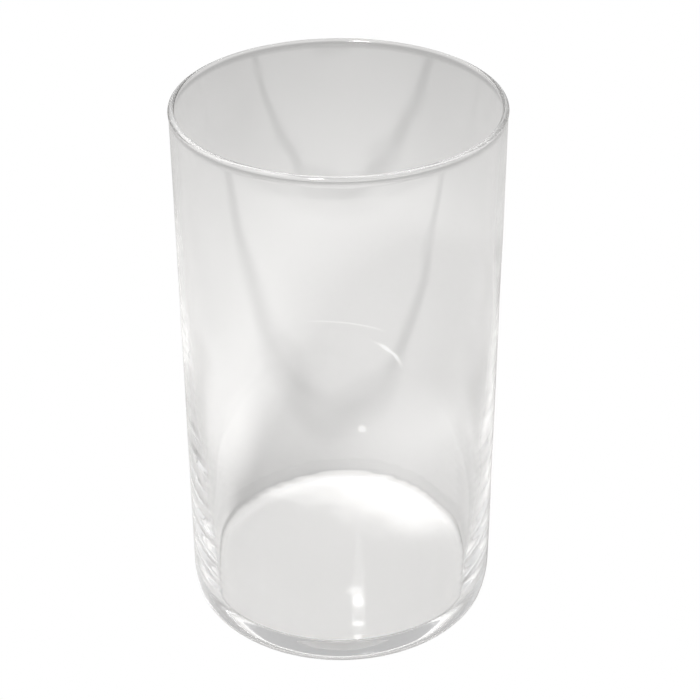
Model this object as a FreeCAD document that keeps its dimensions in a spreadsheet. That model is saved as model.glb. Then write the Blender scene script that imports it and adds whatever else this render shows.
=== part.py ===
import FreeCAD, Part
import Sketcher
import math
import os

# Glass cylinder vase, machine-blown in one piece, with a fire-polished mouth and a thick bottom.
# The one glass is modelled as its four zones, which meet face to face: base disc, heel ring,
# cylinder wall and rim bead. Every zone is a profile in the XZ plane turned about +Z.
# Millimetres, +Z up, origin at the centre of the plane that the vase stands on.

doc = FreeCAD.newDocument("glass_cylinder_vase")

# ---------------------------------------------------------------- sizes
DRIVING = [
    ("outer_diameter", "150", "outside of the cylinder"),
    ("overall_height", "260", "standing plane to the crown of the rim"),
    ("wall_thickness", "2.6", "upper part of the cylinder wall"),
    ("low_wall_thickness", "7.8", "cylinder wall where its taper reaches the floor"),
    ("taper_top", "200", "level above which the wall keeps its thickness"),
    ("bead_overhang", "0.3", "how far the fire-polished bead stands out beyond the cylinder"),
    ("bead_inset", "0.1", "how far the bead stands in beyond the inside of the wall"),
    ("rim_height", "6", "height of the zone that carries the bead"),
    ("floor_level", "9.5", "top of the floor where the inside corner starts"),
    ("floor_crown", "0.6", "rise of the floor from the corner to the middle"),
    ("corner_radius", "2", "inside corner between the floor and the wall"),
    ("seam_level", "18", "where the heel ring ends and the cylinder wall starts"),
    ("heel_height", "12", "height at which the outside starts to turn in"),
    ("heel_radius", "38", "long arc of the heel"),
    ("foot_radius", "1.6", "short arc between the heel and the standing ring"),
    ("push_up", "1.4", "hollow under the middle of the bottom"),
]
WORKED_OUT = [
    ("outer_radius", "=outer_diameter / 2", "from the axis to the outside"),
    ("inner_radius", "=outer_radius - wall_thickness", "from the axis to the inside of the upper wall"),
    ("taper_depth", "=low_wall_thickness - wall_thickness", "thickening from the taper's top to the floor"),
    ("taper_drop", "=taper_top - floor_level", "from the taper's top down to the floor"),
    ("taper_radius", "=(taper_drop ^ 2 + taper_depth ^ 2) / (2 * taper_depth)", "long arc of the taper"),
    ("taper_centre", "=inner_radius - taper_radius", "centre of that arc, beyond the axis"),
    ("disc_radius", "=taper_centre + sqrt((taper_radius - corner_radius) ^ 2"
                    " - (taper_drop - corner_radius) ^ 2)", "where the floor meets the inside corner"),
    ("rim_bottom", "=overall_height - rim_height", "where the rim zone starts"),
    ("rim_thickness", "=wall_thickness + bead_overhang + bead_inset", "across the bead"),
    ("bead_radius", "=rim_thickness / 2", "round section of the bead"),
    ("bead_centre", "=outer_radius + bead_overhang - bead_radius", "from the axis to the bead's centre line"),
    ("bead_level", "=overall_height - bead_radius", "height of the bead's centre line"),
    ("floor_middle", "=floor_level + floor_crown", "top of the floor on the axis"),
]

sheet = doc.addObject("Spreadsheet::Sheet", "Sizes")
for row, (alias, content, note) in enumerate(DRIVING + WORKED_OUT, start=1):
    sheet.set(f"A{row}", note)
    sheet.set(f"B{row}", content)
    sheet.setAlias(f"B{row}", alias)
doc.recompute()


def size(alias):
    """The number that the sheet holds under this alias."""
    return float(sheet.get(alias))


# ---------------------------------------------------------------- outline helpers
ROOT, H_AXIS, V_AXIS = -1, -1, -2
START, END, CENTRE = 1, 2, 3


def new_profile(label):
    """A body with an empty sketch on its own XZ plane: sketch x is the radius, sketch y is Z."""
    body = doc.addObject("PartDesign::Body", label)
    body.Label = label
    plane = next(item for item in body.Origin.OriginFeatures if item.Role == "XZ_Plane")
    sketch = body.newObject("Sketcher::SketchObject", label + "_profile")
    sketch.AttachmentSupport = [(plane, "")]
    sketch.MapMode = "FlatFace"
    return body, sketch


def line(sketch, start, end):
    """A straight stretch from start to end, each given as (radius, level)."""
    edge = Part.LineSegment(FreeCAD.Vector(*start, 0), FreeCAD.Vector(*end, 0))
    return sketch.addGeometry(edge, False)


def arc(sketch, centre, radius, first, last):
    """A round stretch about centre, anticlockwise from the angle first to last, in degrees."""
    circle = Part.Circle(FreeCAD.Vector(*centre, 0), FreeCAD.Vector(0, 0, 1), radius)
    edge = Part.ArcOfCircle(circle, math.radians(first), math.radians(last))
    return sketch.addGeometry(edge, False)


def taper_angle(level):
    """Where the long arc of the wall's taper is at a level, in degrees below the horizontal."""
    return math.degrees(math.asin((size("taper_top") - level) / size("taper_radius")))


def taper_face(sketch, low_level, high_angle):
    """The inside of the tapering wall, from low_level up to the given angle of its long arc."""
    centre = (size("taper_centre"), size("taper_top"))
    return arc(sketch, centre, size("taper_radius"), -taper_angle(low_level), high_angle)


def tie(sketch, kind, *where):
    """A constraint with no size, such as Coincident or Tangent."""
    return sketch.addConstraint(Sketcher.Constraint(kind, *where))


def bind(sketch, kind, alias, *where):
    """A constraint whose size stays bound to a cell of the sheet."""
    index = sketch.addConstraint(Sketcher.Constraint(kind, *where, size(alias)))
    sketch.setExpression(f"Constraints[{index}]", "Sizes." + alias)


def place(sketch, piece, end, radius=None, level=None):
    """Hold a point of the outline at a radius, at a level, or at both."""
    if radius:
        bind(sketch, "DistanceX", radius, ROOT, START, piece, end)
    if level:
        bind(sketch, "DistanceY", level, ROOT, START, piece, end)


def close_outline(sketch, joints):
    """Join the ends listed as (piece, end, next piece, next end) all round the outline."""
    for piece, end, following, beginning in joints:
        tie(sketch, "Coincident", piece, end, following, beginning)


def turn(body, sketch):
    """Turn the outline a full circle about the vase's axis."""
    solid = body.newObject("PartDesign::Revolution", body.Label + "_turned")
    solid.Profile = sketch
    solid.ReferenceAxis = (sketch, ["V_Axis"])
    solid.Angle = 360
    sketch.Visibility = False
    body.Tip = solid
    return body


def low_arc_radius(half_width, rise):
    """Radius of the flat arc that spans half_width from the axis and rises by rise."""
    return (half_width ** 2 + rise ** 2) / (2 * rise)


# ---------------------------------------------------------------- the four zones
def make_base_disc():
    """Thick bottom inside the corner: a faintly crowned floor over a shallow push-up."""
    body, sketch = new_profile("base_disc")
    edge, floor, middle = size("disc_radius"), size("floor_level"), size("floor_middle")
    rise = size("push_up")
    crown_arc = low_arc_radius(edge, size("floor_crown"))
    hollow_arc = low_arc_radius(edge, rise)
    crown_start = math.degrees(math.acos(edge / crown_arc))
    hollow_start = math.degrees(math.acos(edge / hollow_arc))
    side = line(sketch, (edge, 0), (edge, floor))
    top = arc(sketch, (0, middle - crown_arc), crown_arc, crown_start, 90)
    axis = line(sketch, (0, middle), (0, rise))
    under = arc(sketch, (0, rise - hollow_arc), hollow_arc, hollow_start, 90)
    close_outline(sketch, [(side, END, top, START), (top, END, axis, START),
                           (axis, END, under, END), (under, START, side, START)])
    tie(sketch, "Vertical", side)
    tie(sketch, "PointOnObject", side, START, H_AXIS)
    tie(sketch, "PointOnObject", axis, START, V_AXIS)
    tie(sketch, "PointOnObject", axis, END, V_AXIS)
    tie(sketch, "PointOnObject", top, CENTRE, V_AXIS)
    tie(sketch, "PointOnObject", under, CENTRE, V_AXIS)
    place(sketch, side, END, radius="disc_radius", level="floor_level")
    place(sketch, axis, START, level="floor_middle")
    place(sketch, axis, END, level="push_up")
    return turn(body, sketch)


def make_heel_ring():
    """Ring that the vase stands on: inside corner, rounded heel and flat standing ring."""
    body, sketch = new_profile("heel_ring")
    outside, edge, floor = size("outer_radius"), size("disc_radius"), size("floor_level")
    seam, heel_level, small = size("seam_level"), size("heel_height"), size("corner_radius")
    long_arc, short_arc = size("heel_radius"), size("foot_radius")
    heel_centre = outside - long_arc
    drop = heel_level - short_arc
    foot_centre = heel_centre + math.sqrt((long_arc - short_arc) ** 2 - drop ** 2)
    meeting = -math.degrees(math.asin(drop / (long_arc - short_arc)))
    inside = size("taper_centre") + size("taper_radius") * math.cos(math.radians(taper_angle(seam)))
    top = line(sketch, (outside, seam), (inside, seam))
    taper = taper_face(sketch, floor + small, -taper_angle(seam))
    corner = arc(sketch, (edge, floor + small), small, -90, -taper_angle(floor + small))
    side = line(sketch, (edge, floor), (edge, 0))
    standing = line(sketch, (edge, 0), (foot_centre, 0))
    foot = arc(sketch, (foot_centre, short_arc), short_arc, -90, meeting)
    heel = arc(sketch, (heel_centre, heel_level), long_arc, meeting, 0)
    wall = line(sketch, (outside, heel_level), (outside, seam))
    close_outline(sketch, [(top, END, taper, END), (corner, START, side, START),
                           (side, END, standing, START), (wall, END, top, START)])
    tie(sketch, "Tangent", taper, START, corner, END)
    tie(sketch, "Tangent", standing, END, foot, START)
    tie(sketch, "Tangent", foot, END, heel, START)
    tie(sketch, "Tangent", heel, END, wall, START)
    tie(sketch, "Horizontal", top)
    tie(sketch, "Vertical", side)
    tie(sketch, "Vertical", wall)
    tie(sketch, "Horizontal", standing)
    tie(sketch, "Vertical", corner, CENTRE, corner, START)
    tie(sketch, "PointOnObject", side, END, H_AXIS)
    place(sketch, wall, START, radius="outer_radius", level="heel_height")
    place(sketch, top, END, level="seam_level")
    place(sketch, taper, CENTRE, radius="taper_centre", level="taper_top")
    place(sketch, corner, START, radius="disc_radius", level="floor_level")
    bind(sketch, "Radius", "taper_radius", taper)
    bind(sketch, "Radius", "heel_radius", heel)
    bind(sketch, "Radius", "foot_radius", foot)
    return turn(body, sketch)


def make_cylinder_wall():
    """Tube from the heel ring to the rim: straight outside, and thicker towards the bottom."""
    body, sketch = new_profile("cylinder_wall")
    outside, inside = size("outer_radius"), size("inner_radius")
    seam, taper_top, high = size("seam_level"), size("taper_top"), size("rim_bottom")
    low_inside = size("taper_centre") + size("taper_radius") * math.cos(math.radians(taper_angle(seam)))
    outer = line(sketch, (outside, seam), (outside, high))
    top = line(sketch, (outside, high), (inside, high))
    inner = line(sketch, (inside, high), (inside, taper_top))
    taper = taper_face(sketch, seam, 0)
    bottom = line(sketch, (low_inside, seam), (outside, seam))
    close_outline(sketch, [(outer, END, top, START), (top, END, inner, START),
                           (taper, START, bottom, START), (bottom, END, outer, START)])
    tie(sketch, "Tangent", inner, END, taper, END)
    tie(sketch, "Vertical", outer)
    tie(sketch, "Vertical", inner)
    tie(sketch, "Horizontal", top)
    tie(sketch, "Horizontal", bottom)
    place(sketch, outer, START, radius="outer_radius", level="seam_level")
    place(sketch, inner, START, radius="inner_radius", level="rim_bottom")
    place(sketch, taper, CENTRE, level="taper_top")
    bind(sketch, "Radius", "taper_radius", taper)
    return turn(body, sketch)


def make_rim_bead():
    """Fire-polished lip: a short stretch of wall under a round bead, proud of it on both sides."""
    body, sketch = new_profile("rim_bead")
    outside, inside, low = size("outer_radius"), size("inner_radius"), size("rim_bottom")
    centre, radius, level = size("bead_centre"), size("bead_radius"), size("bead_level")
    outer_neck = math.acos((outside - centre) / radius)
    inner_neck = math.acos((centre - inside) / radius)
    outer_end = level - radius * math.sin(outer_neck)
    inner_end = level - radius * math.sin(inner_neck)
    outer = line(sketch, (outside, low), (outside, outer_end))
    crown = arc(sketch, (centre, level), radius,
                -math.degrees(outer_neck), 180 + math.degrees(inner_neck))
    inner = line(sketch, (inside, inner_end), (inside, low))
    bottom = line(sketch, (inside, low), (outside, low))
    close_outline(sketch, [(outer, END, crown, START), (crown, END, inner, START),
                           (inner, END, bottom, START), (bottom, END, outer, START)])
    tie(sketch, "Vertical", outer)
    tie(sketch, "Vertical", inner)
    tie(sketch, "Horizontal", bottom)
    place(sketch, outer, START, radius="outer_radius", level="rim_bottom")
    place(sketch, inner, END, radius="inner_radius")
    place(sketch, crown, CENTRE, radius="bead_centre", level="bead_level")
    bind(sketch, "Radius", "bead_radius", crown)
    return turn(body, sketch)


zones = [make_base_disc(), make_heel_ring(), make_cylinder_wall(), make_rim_bead()]
doc.recompute()

# ---------------------------------------------------------------- test and write
for item in doc.Objects:
    if "Invalid" in item.State or "Error" in item.State:
        raise RuntimeError(f"{item.Label} failed to compute: {item.State}")
    if item.TypeId == "Sketcher::SketchObject" and not item.FullyConstrained:
        raise RuntimeError(f"{item.Label} is not fully constrained")
for zone in zones:
    if zone.Shape.isNull() or not zone.Shape.isValid() or len(zone.Shape.Solids) != 1:
        raise RuntimeError(f"{zone.Label} is not one valid solid")

os.makedirs("parts", exist_ok=True)
for zone in zones:
    zone.Shape.exportStep(f"parts/{zone.Label}.step")
    box = zone.Shape.optimalBoundingBox()
    print(f"{zone.Label}: {zone.Shape.Volume / 1000:.1f} cm3, z {box.ZMin:.2f} to {box.ZMax:.2f},"
          f" radius {box.XMax:.2f}")
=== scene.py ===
import math
import bpy
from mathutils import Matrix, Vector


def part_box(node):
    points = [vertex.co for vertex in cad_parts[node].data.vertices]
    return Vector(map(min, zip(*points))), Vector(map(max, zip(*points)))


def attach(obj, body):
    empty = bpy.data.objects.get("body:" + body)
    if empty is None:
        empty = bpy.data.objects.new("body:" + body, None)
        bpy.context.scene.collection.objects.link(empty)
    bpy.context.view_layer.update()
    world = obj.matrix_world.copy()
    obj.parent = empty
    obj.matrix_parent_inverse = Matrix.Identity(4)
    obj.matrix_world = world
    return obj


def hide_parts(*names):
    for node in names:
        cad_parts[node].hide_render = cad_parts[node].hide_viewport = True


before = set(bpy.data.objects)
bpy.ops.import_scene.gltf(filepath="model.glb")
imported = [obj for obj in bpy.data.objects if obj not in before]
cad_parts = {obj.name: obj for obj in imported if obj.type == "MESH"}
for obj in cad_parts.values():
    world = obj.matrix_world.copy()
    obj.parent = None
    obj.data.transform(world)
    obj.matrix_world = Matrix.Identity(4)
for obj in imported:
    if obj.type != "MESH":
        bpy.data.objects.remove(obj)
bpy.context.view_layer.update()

# ---------------------------------------------------------------- The glass
# One piece of clear soda-lime glass, blown by machine into a turned mould: a plain tube on a
# thick bottom, with a long-radius heel, a shallow push-up that leaves a flat standing ring, and
# a mouth cut off and melted round by a flame.
wall_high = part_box("cylinder_wall")[1]
disc_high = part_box("base_disc")[1]
rim_low, rim_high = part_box("rim_bead")

outside_radius = wall_high.x
wall_thickness = 0.0026
inside_radius = outside_radius - wall_thickness
bead_overhang = 0.0003
bead_inset = 0.0001
bead_radius = (wall_thickness + bead_overhang + bead_inset) / 2
bead_level = rim_high.z - bead_radius
disc_radius = disc_high.x
floor_middle = disc_high.z
floor_crown = 0.0006
floor_level = floor_middle - floor_crown
corner_radius = 0.002
taper_top = 0.200
taper_depth = 0.0052
heel_height = 0.012
heel_radius = 0.038
foot_radius = 0.0016
push_up = 0.0014
marked_share = 0.66
marked_top = marked_share * rim_high.z
ring_pitch = 0.0011
turns = 256


def swing(centre_radius, centre_level, angle, steps):
    """Carry the end of the outline round a centre by an angle, upwards and inwards if positive."""
    bpy.ops.mesh.spin(steps=steps, angle=angle, center=(centre_radius, 0, centre_level), axis=(0, 1, 0))


def carry(radius_change, level_change, steps=1):
    """Carry the end of the outline along a straight stretch in equal steps."""
    for step in range(steps):
        bpy.ops.mesh.extrude_region_move(
            TRANSFORM_OT_translate={"value": (radius_change / steps, 0, level_change / steps)})


# the outline is drawn from one point on the axis, at the top of the push-up
bpy.ops.object.select_all(action="DESELECT")
bpy.ops.mesh.primitive_plane_add(size=0.001, location=(0, 0, 0))
vase = bpy.context.object
vase.name = "glass_vase"
bpy.ops.object.mode_set(mode="EDIT")
bpy.ops.mesh.select_all(action="SELECT")
bpy.ops.mesh.merge(type="CENTER")
bpy.ops.transform.translate(value=(0, 0, push_up))

# underside: push-up, standing ring, foot and heel
hollow_arc = (disc_radius ** 2 + push_up ** 2) / (2 * push_up)
swing(0, push_up - hollow_arc, -math.asin(disc_radius / hollow_arc), 14)
heel_centre = outside_radius - heel_radius
drop = heel_height - foot_radius
foot_centre = heel_centre + math.sqrt((heel_radius - foot_radius) ** 2 - drop ** 2)
meeting = math.asin(drop / (heel_radius - foot_radius))
carry(foot_centre - disc_radius, 0, 4)
swing(foot_centre, foot_radius, math.pi / 2 - meeting, 6)
swing(heel_centre, heel_height, meeting, 18)

# outside: ring marks reach two thirds of the way up, so the steps are close there
bead_middle = outside_radius + bead_overhang - bead_radius
outer_neck = math.acos((outside_radius - bead_middle) / bead_radius)
inner_neck = math.acos((bead_middle - inside_radius) / bead_radius)
carry(0, marked_top - heel_height, round((marked_top - heel_height) / ring_pitch))
carry(0, bead_level - bead_radius * math.sin(outer_neck) - marked_top, 34)

# mouth: round bead, a little proud of the wall on both sides
swing(bead_middle, bead_level, outer_neck + math.pi + inner_neck, 26)
carry(0, rim_low.z - bead_level + bead_radius * math.sin(inner_neck), 4)

# inside: wall, long arc of the taper, corner and crowned floor
taper_drop = taper_top - floor_level
taper_arc = (taper_drop ** 2 + taper_depth ** 2) / (2 * taper_depth)
taper_turn = math.asin((taper_drop - corner_radius) / (taper_arc - corner_radius))
crown_arc = (disc_radius ** 2 + floor_crown ** 2) / (2 * floor_crown)
carry(0, taper_top - rim_low.z, 12)
swing(inside_radius - taper_arc, taper_top, -taper_turn, 72)
swing(disc_radius, floor_level + corner_radius, taper_turn - math.pi / 2, 10)
swing(0, floor_middle - crown_arc, math.asin(disc_radius / crown_arc), 14)

bpy.ops.mesh.select_all(action="SELECT")
bpy.ops.mesh.spin(steps=turns, angle=2 * math.pi, center=(0, 0, 0), axis=(0, 0, 1))
bpy.ops.mesh.select_all(action="SELECT")
bpy.ops.mesh.remove_doubles(threshold=0.00001)
bpy.ops.mesh.normals_make_consistent(inside=False)
bpy.ops.object.mode_set(mode="OBJECT")
bpy.ops.object.shade_smooth()

# the wall was blown, so it is a little uneven all over, and its lower outside keeps fine rings
wave_length = 0.055
wave_swing = 0.00045
wave_fade = 0.030
ring_length = 0.0080
ring_swing = 0.000010
ring_fade_low = 0.008
ring_fade_high = 0.060
skin_depth = 0.00002

blown = vase.vertex_groups.new(name="blown")
ringed = vase.vertex_groups.new(name="ringed")
for point in vase.data.vertices:
    level = point.co.z
    from_axis = math.hypot(point.co.x, point.co.y)
    if from_axis > disc_radius and heel_height < level < rim_low.z:
        share = min((level - heel_height) / wave_fade, (rim_low.z - level) / wave_fade, 1.0)
        blown.add([point.index], share, "REPLACE")
    if from_axis > outside_radius - skin_depth and heel_height < level < marked_top:
        share = min((level - heel_height) / ring_fade_low, (marked_top - level) / ring_fade_high, 1.0)
        ringed.add([point.index], share, "REPLACE")

slow_waves = bpy.data.textures.new("slow_waves", "CLOUDS")
slow_waves.noise_scale = wave_length
slow_waves.noise_depth = 1
bpy.ops.object.modifier_add(type="DISPLACE")
wave = vase.modifiers[-1]
wave.texture = slow_waves
wave.texture_coords = "LOCAL"
wave.vertex_group = "blown"
wave.mid_level = 0.5
wave.strength = wave_swing
bpy.ops.object.modifier_apply(modifier=wave.name)

# a flat ruler squeezes the bands into level rings, and goes once they are pressed in
ring_bands = bpy.data.textures.new("ring_bands", "WOOD")
ring_bands.wood_type = "BANDS"
ring_bands.noise_basis_2 = "SIN"
bpy.ops.object.empty_add(location=(0, 0, 0))
ruler = bpy.context.object
ruler.scale = (0.9, 0.9, ring_length)
bpy.ops.object.select_all(action="DESELECT")
vase.select_set(True)
bpy.context.view_layer.objects.active = vase
bpy.ops.object.modifier_add(type="DISPLACE")
press = vase.modifiers[-1]
press.texture = ring_bands
press.texture_coords = "OBJECT"
press.texture_coords_object = ruler
press.vertex_group = "ringed"
press.mid_level = 0.5
press.strength = ring_swing
bpy.ops.object.modifier_apply(modifier=press.name)
bpy.data.objects.remove(ruler)
vase.vertex_groups.clear()

# the glass lets the lamp's light through to the sheet, except where a wall is met edge on
clear_index = 1.5
light_through = 1.12
blocked_from = 0.40

glass = bpy.data.materials.new("clear_soda_lime_glass")
glass.use_nodes = True
nodes, links = glass.node_tree.nodes, glass.node_tree.links
shader = nodes["Principled BSDF"]
shader.inputs["Base Color"].default_value = (0.99, 0.99, 0.99, 1)
shader.inputs["Roughness"].default_value = 0.0
shader.inputs["IOR"].default_value = clear_index
shader.inputs["Transmission Weight"].default_value = 1.0
clear = nodes.new("ShaderNodeBsdfTransparent")
fresnel = nodes.new("ShaderNodeFresnel")
fresnel.inputs["IOR"].default_value = clear_index
passes = nodes.new("ShaderNodeMapRange")
passes.inputs["From Max"].default_value = blocked_from
passes.inputs["To Min"].default_value = light_through
passes.inputs["To Max"].default_value = 0.0
links.new(fresnel.outputs[0], passes.inputs["Value"])
links.new(passes.outputs[0], clear.inputs["Color"])
path = nodes.new("ShaderNodeLightPath")
mix = nodes.new("ShaderNodeMixShader")
links.new(path.outputs["Is Shadow Ray"], mix.inputs["Fac"])
links.new(shader.outputs[0], mix.inputs[1])
links.new(clear.outputs[0], mix.inputs[2])
links.new(mix.outputs[0], nodes["Material Output"].inputs["Surface"])
vase.data.materials.append(glass)

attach(vase, "root")
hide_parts("base_disc", "heel_ring", "cylinder_wall", "rim_bead")

# ---------------------------------------------------------------- The floor
# A matt pale sheet of paper under the vase, with painted light brighter towards the lamp in front
# and painted shade greyer far behind. In front of the vase painted shade of a gap runs across it,
# and beyond the sheet's front edge painted shade dims it. The lens sees it all as plain white; the
# glass sees it as it is.
floor_size = 60
sheet_grey = 0.80
# painted shade: grey of the sheet far behind the vase
far_shade_grey = 0.55
# painted shade beyond the sheet's front edge
dim_room = 0.45
# painted light: glow of the sheet in front
front_glow = 0.50
# painted shade of a gap across the sheet in front of the vase
gap_level = -0.280
gap_width = 0.036
gap_shade_dark = 0.15
left_bend = 0.45
right_bend = 0.25
# painted shade round the foot and on either side of the vase
side_shade = 0.30
sheet_reach = 0.540
sheet_stretch = 0.945
wander_rate = 31.0
wander_swing = 0.004
ripple_fineness = 55.0
ripple_swing = 0.030
paper_tint = (1, 0.992, 0.980)

bpy.ops.object.select_all(action="DESELECT")
bpy.ops.mesh.primitive_plane_add(size=floor_size, location=(0, 0, 0))
floor = bpy.context.object
floor.name = "studio_floor"
paper = bpy.data.materials.new("pale_paper")
paper.use_nodes = True
nodes, links = paper.node_tree.nodes, paper.node_tree.links


def work(operation, first, second=0.0):
    """A number worked out from one or two numbers or sockets."""
    node = nodes.new("ShaderNodeMath")
    node.operation = operation
    for socket, value in zip(node.inputs, (first, second)):
        if isinstance(value, (int, float)):
            socket.default_value = value
        else:
            links.new(value, socket)
    return node.outputs[0]


def add(first, *others):
    """The sum of two or more numbers or sockets."""
    total = first
    for other in others:
        total = work("ADD", total, other)
    return total


def times(first, *others):
    """The product of two or more numbers or sockets."""
    total = first
    for other in others:
        total = work("MULTIPLY", total, other)
    return total


def length(along, deep):
    """How long a step is that goes so far across and so far back."""
    return work("SQRT", add(times(along, along), times(deep, deep)))


def blend(value, low, high, at_low, at_high):
    """A number that goes smoothly from at_low to at_high while value goes from low to high."""
    node = nodes.new("ShaderNodeMapRange")
    node.interpolation_type = "SMOOTHSTEP"
    links.new(value, node.inputs["Value"])
    node.inputs["From Min"].default_value = low
    node.inputs["From Max"].default_value = high
    node.inputs["To Min"].default_value = at_low
    node.inputs["To Max"].default_value = at_high
    return node.outputs["Result"]


def pool(middle_x, middle_y, half_x, half_y, soft, strength):
    """A soft-edged oval of light on the sheet."""
    along = work("DIVIDE", work("SUBTRACT", side, middle_x), half_x)
    deep = work("DIVIDE", work("SUBTRACT", back, middle_y), half_y)
    return blend(length(along, deep), 1.0 - soft, 1.0 + soft, strength, 0.0)


def ring_of_light(middle_y, radius, width, strength):
    """A thin soft-edged ring of light on the sheet, round a point behind the vase."""
    from_middle = length(side, work("SUBTRACT", back, middle_y))
    return blend(work("ABSOLUTE", work("SUBTRACT", from_middle, radius)), 0.0, width, strength, 0.0)


place = nodes.new("ShaderNodeTexCoord")
across = nodes.new("ShaderNodeSeparateXYZ")
links.new(place.outputs["Object"], across.inputs[0])
side, back = across.outputs["X"], across.outputs["Y"]

# painted shade of a gap across the sheet: it bends away to either side, more on the left,
# wanders a little, and widens on the left
bend = blend(side, -0.02, 0.02, left_bend, right_bend)
bent = add(times(side, side, bend), gap_level)
wander = times(work("SINE", times(side, wander_rate)), wander_swing)
from_gap = work("ABSOLUTE", add(work("SUBTRACT", back, bent), wander))
widening = blend(side, -0.32, -0.04, 0.60, 1.0)
gap_shade = blend(times(from_gap, widening), gap_width * 0.1, gap_width * 0.8, gap_shade_dark, 1.0)

# painted shade: beyond the sheet's rounded front edge the floor is dimmer, less and less so
# towards the back
beyond = blend(length(times(side, sheet_stretch), back), sheet_reach, sheet_reach + 0.02, 1.0, dim_room)
in_front = blend(back, -0.35, 0.05, 1.0, 0.0)
lit = add(times(in_front, beyond), work("SUBTRACT", 1.0, in_front))

# painted shade: the sheet is a little darker round the foot of the vase and on either side of it
from_foot = length(side, back)
beside = work("ABSOLUTE", side)
close = times(blend(from_foot, 0.066, 0.074, 0.0, 1.0), blend(back, 0.04, 0.12, 1.0, 0.0))
flank = times(blend(beside, 0.085, 0.115, 0.0, 1.0), blend(back, 0.18, 0.30, 1.0, 0.0))
shade = times(work("MAXIMUM", close, flank), blend(from_foot, 0.16, 0.30, side_shade, 0.0))
kept = times(gap_shade, lit, work("SUBTRACT", 1.0, shade))
# painted shade: the sheet turns greyer further behind the vase, under the painted shades above
shaded_grey = times(kept, blend(back, 0.04, 0.95, sheet_grey, far_shade_grey))
# painted light: the sheet glows brighter towards the lamp in front
front_light = times(kept, blend(back, -0.35, -0.05, front_glow, 0.0))

# light that the bottom gathers, painted on the sheet: an even glow and a crescent on the far side
ripple = nodes.new("ShaderNodeTexNoise")
ripple.inputs["Scale"].default_value = ripple_fineness
ripple.inputs["Detail"].default_value = 2.0
links.new(place.outputs["Object"], ripple.inputs["Vector"])
ripple_shift = times(work("SUBTRACT", ripple.outputs[0], 0.5), ripple_swing)
towards_back = add(times(side, 0.56), times(back, 0.83), ripple_shift)
far_side = times(blend(towards_back, 0.016, 0.050, 0.0, 0.27), pool(0.018, 0.058, 0.056, 0.046, 0.26, 1.0))
left_tip = pool(-0.026, 0.060, 0.030, 0.010, 0.60, 0.20)
vase_print = pool(0, 0, outside_radius, outside_radius, 0.02, 1.0)
crescent = times(vase_print, work("MAXIMUM", far_side, left_tip))
even_glow = pool(0, 0, 0.069, 0.069, 0.03, 0.150)

# the lamp's own image, broken into small spots by the bottom and by the wall, painted as well
spots = add(pool(0.0082, -0.0336, 0.0020, 0.0034, 1.0, 0.75),
            pool(0.0066, -0.0262, 0.0034, 0.0030, 0.9, 0.22),
            pool(0.0078, -0.0494, 0.0022, 0.0014, 1.0, 0.50),
            pool(0.0075, -0.0586, 0.0015, 0.0016, 0.8, 0.45),
            pool(0.0137, 0.1210, 0.0020, 0.0026, 0.9, 0.34))

# painted light that the bead throws behind the vase in two arcs, and the wall to the right
near_arc = times(ring_of_light(0.185, 0.0424, 0.0026, 0.40), pool(0.037, 0.207, 0.012, 0.016, 0.7, 1.0))
far_arc = times(ring_of_light(0.185, 0.0610, 0.0022, 0.16), pool(0.006, 0.245, 0.022, 0.030, 0.5, 1.0))
thrown = add(pool(0.060, 0.240, 0.080, 0.150, 0.55, 0.10), pool(0.075, 0.085, 0.060, 0.060, 0.60, 0.16))
glow = add(front_light, crescent, even_glow, spots, near_arc, far_arc, thrown)

tone = nodes.new("ShaderNodeCombineColor")
for channel, tint in zip(("Red", "Green", "Blue"), paper_tint):
    links.new(times(shaded_grey, tint), tone.inputs[channel])
matt = nodes["Principled BSDF"]
links.new(tone.outputs[0], matt.inputs["Base Color"])
matt.inputs["Roughness"].default_value = 0.9
matt.inputs["Specular IOR Level"].default_value = 0.0
matt.inputs["Emission Color"].default_value = (*paper_tint, 1)
links.new(glow, matt.inputs["Emission Strength"])
plain = nodes.new("ShaderNodeEmission")
plain.inputs["Color"].default_value = (1, 1, 1, 1)
path = nodes.new("ShaderNodeLightPath")
mix = nodes.new("ShaderNodeMixShader")
links.new(path.outputs["Is Camera Ray"], mix.inputs["Fac"])
links.new(matt.outputs[0], mix.inputs[1])
links.new(plain.outputs[0], mix.inputs[2])
links.new(mix.outputs[0], nodes["Material Output"].inputs["Surface"])
floor.data.materials.append(paper)

# ---------------------------------------------------------------- The light
# A pale room all round, brighter in front and overhead, which the lens sees as plain white, and
# one small round lamp, in front on the left and three vase heights up.
room_front = 0.95
room_behind = 0.50
room_low = 0.70
room_high = 1.01
lamp_place = (-0.18, -0.57, 0.80)
lamp_width = 0.16
lamp_watts = 7.2

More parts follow.
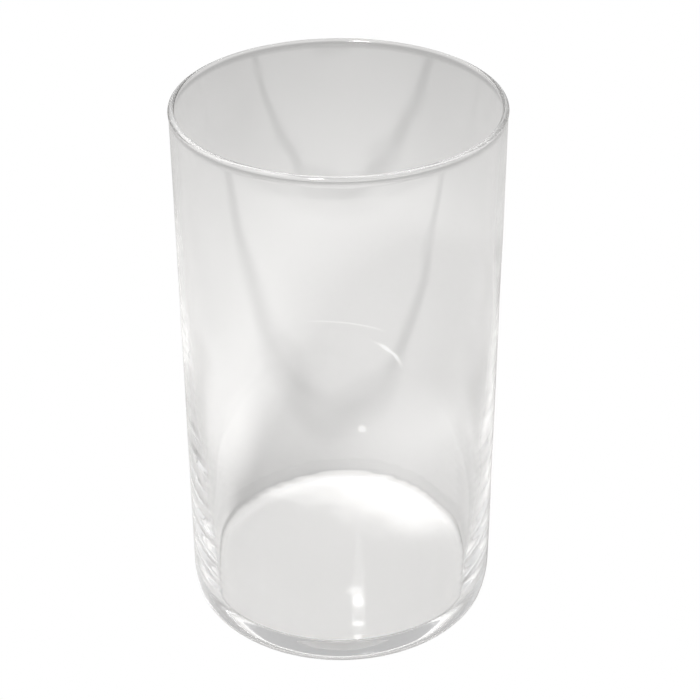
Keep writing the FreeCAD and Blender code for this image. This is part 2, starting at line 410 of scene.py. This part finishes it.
world = bpy.data.worlds.new("studio")
bpy.context.scene.world = world
world.use_nodes = True
nodes, links = world.node_tree.nodes, world.node_tree.links
room = nodes["Background"]
room.inputs["Color"].default_value = (1, 1, 1, 1)
facing = nodes.new("ShaderNodeTexCoord")
parts = nodes.new("ShaderNodeSeparateXYZ")
links.new(facing.outputs["Generated"], parts.inputs[0])
by_depth = blend(parts.outputs["Y"], -0.3, 0.7, room_front, room_behind)
by_height = blend(parts.outputs["Z"], 0.05, 0.80, room_low, room_high)
links.new(times(by_depth, by_height), room.inputs["Strength"])
white = nodes.new("ShaderNodeBackground")
white.inputs["Color"].default_value = (1, 1, 1, 1)
path = nodes.new("ShaderNodeLightPath")
mix = nodes.new("ShaderNodeMixShader")
links.new(path.outputs["Is Camera Ray"], mix.inputs["Fac"])
links.new(room.outputs[0], mix.inputs[1])
links.new(white.outputs[0], mix.inputs[2])
links.new(mix.outputs[0], nodes["World Output"].inputs["Surface"])

bpy.ops.object.light_add(type="AREA", location=lamp_place)
key = bpy.context.object
key.name = "key_light"
key.data.shape = "DISK"
key.data.size = lamp_width
key.data.energy = lamp_watts
key.rotation_euler = key.location.to_track_quat("Z", "Y").to_euler()

# ---------------------------------------------------------------- The camera
# A long lens in front of the vase and above it, tilted down by 32 degrees, a hair off level.
# Its distance is given in radii of the vase.
view_back = 9.7775 * outside_radius
view_up = 7.8226 * outside_radius
view_down = math.radians(31.843)
view_right = math.radians(0.3735)
view_roll = math.radians(0.165)
lens_length = 92.74

camera_data = bpy.data.cameras.new("camera")
camera = bpy.data.objects.new("camera", camera_data)
bpy.context.collection.objects.link(camera)
camera_data.sensor_width = 36
camera_data.lens = lens_length
camera.location = (0, -view_back, view_up)
camera.rotation_euler = (math.pi / 2 - view_down, 0, -view_right)
camera.rotation_euler.rotate_axis("Z", -view_roll)
bpy.context.scene.camera = camera

# light goes through many glass surfaces before it leaves a wall that is seen edge on
most_bounces = 96
bpy.context.scene.view_settings.view_transform = "Standard"
bpy.context.scene.cycles.max_bounces = most_bounces
bpy.context.scene.cycles.transmission_bounces = most_bounces
bpy.context.scene.cycles.glossy_bounces = most_bounces
bpy.context.scene.cycles.transparent_max_bounces = 24
bpy.context.scene.cycles.blur_glossy = 0.0
